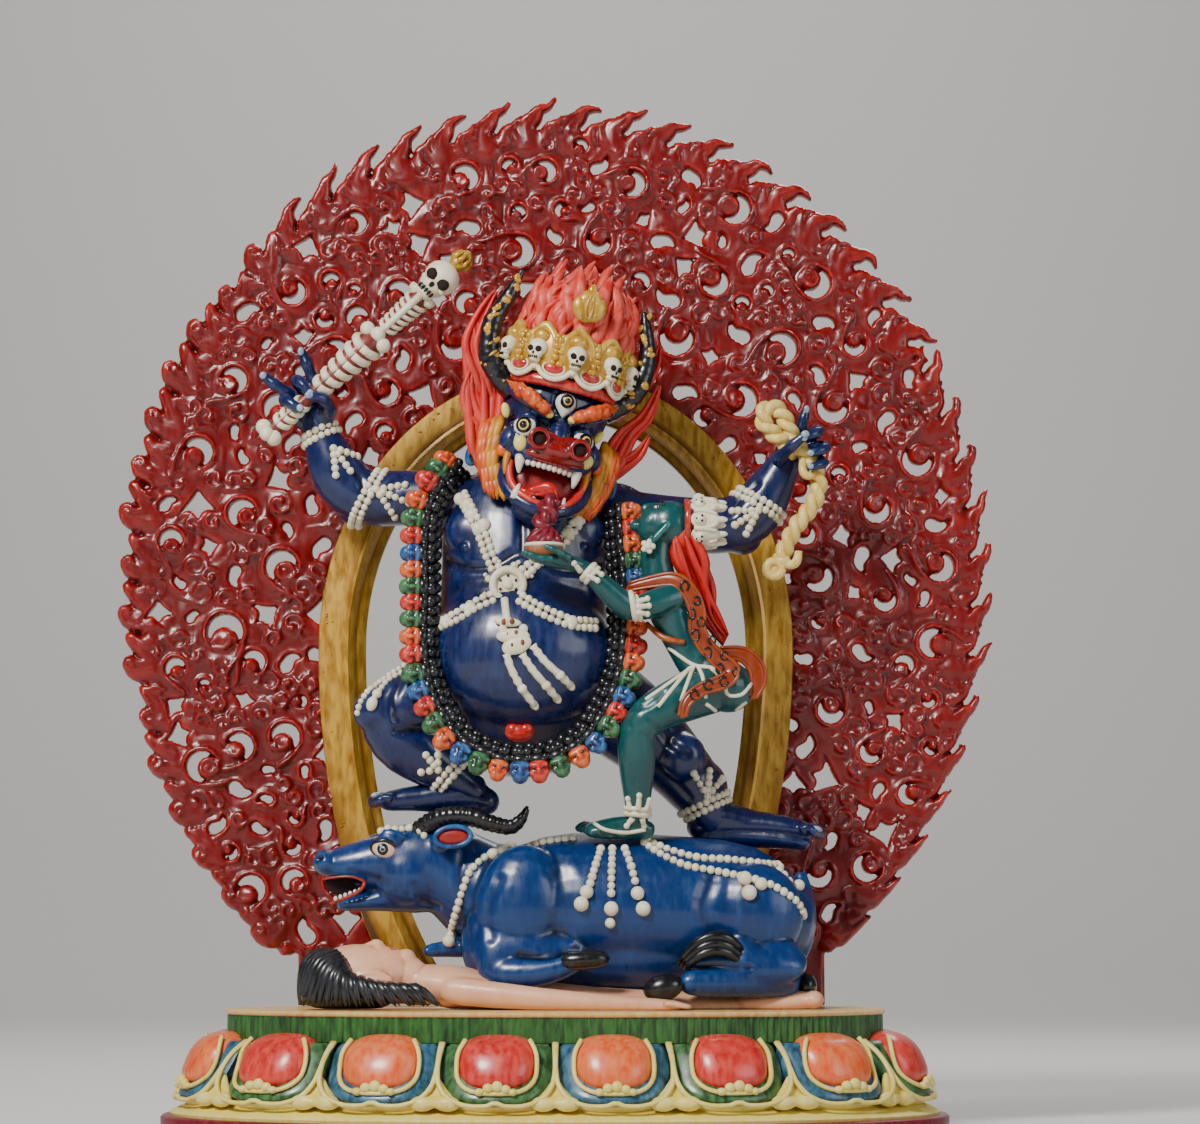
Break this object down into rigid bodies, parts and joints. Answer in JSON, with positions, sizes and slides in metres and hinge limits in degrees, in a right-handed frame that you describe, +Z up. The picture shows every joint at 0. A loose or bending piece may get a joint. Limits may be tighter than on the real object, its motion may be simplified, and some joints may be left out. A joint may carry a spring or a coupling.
{
  "type": "bull-headed buddhist statue",
  "caption": "Painted resin altar statue: bull-headed wrathful figure with consort on a lying buffalo and prostrate man, lotus pedestal, openwork flame aureole.",
  "frame": {"origin": "middle of the pedestal's underside; the statue stands on z = 0", "axes": "+Z up, front of the statue faces -Y, +X to the right in the front view"},
  "size_m": [0.3603, 0.208, 0.4261],
  "materials": {
    "lotus_paint": "hand-painted resin, satin, brush marks, cream edges",
    "flame_red": "lacquer-red paint on cast openwork resin, glossy",
    "gold_paint": "gold paint, satin, fine specks",
    "buffalo_blue": "bright blue paint, semi-gloss",
    "skin_paint": "flesh paint, satin",
    "navy_paint": "dark blue paint, glossy, dry-brushed",
    "teal_paint": "teal paint, semi-gloss",
    "bone_paint": "bone-white paint, dark in the grooves",
    "rope_paint": "straw-yellow paint on a twisted rope",
    "coral_hair": "coral-red paint, dry-brushed lighter on the ridges",
    "black_paint": "glossy black paint",
    "garland_paint": "small heads in red, orange, green and blue paint",
    "scarf_paint": "orange paint with black leopard spots"
  },
  "bodies": {
    "root": {"lotus_pedestal": "lotus_paint", "flame_aureole": "flame_red", "buffalo": "buffalo_blue", "prostrate_man": "skin_paint", "bull_headed_figure": "navy_paint", "consort": "teal_paint", "skeleton_club": "bone_paint", "rope_noose": "rope_paint"}
  },
  "joints": []
}
